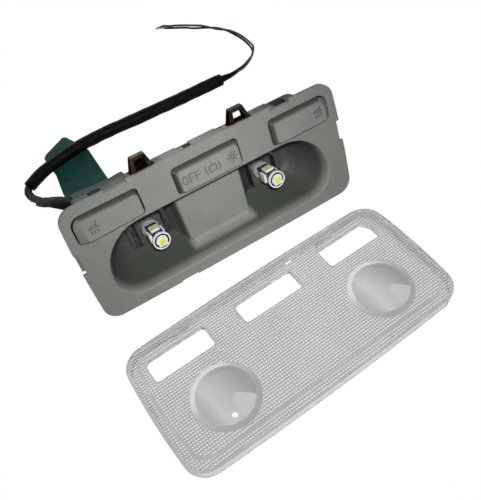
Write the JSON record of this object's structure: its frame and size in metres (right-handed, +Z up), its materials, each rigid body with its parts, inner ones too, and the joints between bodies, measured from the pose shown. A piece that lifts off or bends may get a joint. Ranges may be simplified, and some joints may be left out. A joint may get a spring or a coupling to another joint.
{
  "type": "car dome light",
  "caption": "Car interior dome light: moulded bezel with a reflector bowl, rocker switches and wedge lamps, its prismatic lens taken off, harness behind",
  "frame": {"origin": "on the table, under the middle of the bezel and the lens together, cords left out", "axes": "+X along the bezel's width, to the right as seen from the front, +Y from the lens to the bezel, +Z up from the table"},
  "size_m": [0.1913, 0.3127, 0.0684],
  "materials": {
    "bezel_plastic": "fine moulded grain, grey",
    "rocker_plastic": "smooth moulded, grey",
    "carrier_plastic": "moulded, dark grey",
    "bar_brass": "stamped strip",
    "spring_bronze": "rolled spring strip",
    "socket_plastic": "moulded, dark grey",
    "blade_steel": "tinned strip",
    "bulb_plastic": "moulded, pale grey",
    "bulb_board": "solder-masked board",
    "bulb_ring": "white, glossy",
    "bulb_chip": "yellow silicone over a white frame",
    "clip_steel": "yellow zinc plating",
    "lens_clear": "clear acrylic with moulded prisms",
    "harness_rubber": "matt black",
    "lead_black": "matt black",
    "lead_grey": "matt grey",
    "tape_cloth": "woven adhesive tape, teal"
  },
  "bodies": {
    "root": {"housing": "bezel_plastic", "switch_carrier": "carrier_plastic", "feed_bus_bar": "bar_brass", "ground_bus_bar": "bar_brass", "left_contact_spring": "spring_bronze", "centre_contact_spring": "spring_bronze", "right_contact_spring": "spring_bronze", "left_bulb_socket": "socket_plastic", "right_bulb_socket": "socket_plastic", "left_socket_blades": "blade_steel", "right_socket_blades": "blade_steel", "left_bulb_base": "bulb_plastic", "right_bulb_base": "bulb_plastic", "left_bulb_leads": "blade_steel", "right_bulb_leads": "blade_steel", "left_bulb_core": "bulb_board", "right_bulb_core": "bulb_board", "left_bulb_front": "bulb_ring", "right_bulb_front": "bulb_ring", "left_bulb_chips": "bulb_chip", "right_bulb_chips": "bulb_chip", "left_spring_clip": "clip_steel", "right_spring_clip": "clip_steel", "lens": "lens_clear", "harness_sleeve": "harness_rubber", "harness_bundle": "harness_rubber", "harness_tube": "harness_rubber", "heat_shrink": "harness_rubber", "black_lead": "lead_black", "grey_lead": "lead_grey", "tape_tab": "tape_cloth"},
    "left_rocker": {"left_rocker": "rocker_plastic"},
    "centre_rocker": {"centre_rocker": "rocker_plastic"},
    "right_rocker": {"right_rocker": "rocker_plastic"}
  },
  "joints": [
    {"name": "left_rocker_tilt", "type": "hinge", "parent": "root", "child": "left_rocker", "pos_m": [-0.0532, 0.04914, 0.05051], "axis": [0, 0.3707, 0.9287], "range_deg": [-6, 0]},
    {"name": "centre_rocker_tilt", "type": "hinge", "parent": "root", "child": "centre_rocker", "pos_m": [0.0028, 0.04914, 0.05051], "axis": [0, 0.3707, 0.9287], "range_deg": [-6, 6]},
    {"name": "right_rocker_tilt", "type": "hinge", "parent": "root", "child": "right_rocker", "pos_m": [0.0588, 0.04914, 0.05051], "axis": [0, 0.3707, 0.9287], "range_deg": [-3, 3]}
  ]
}
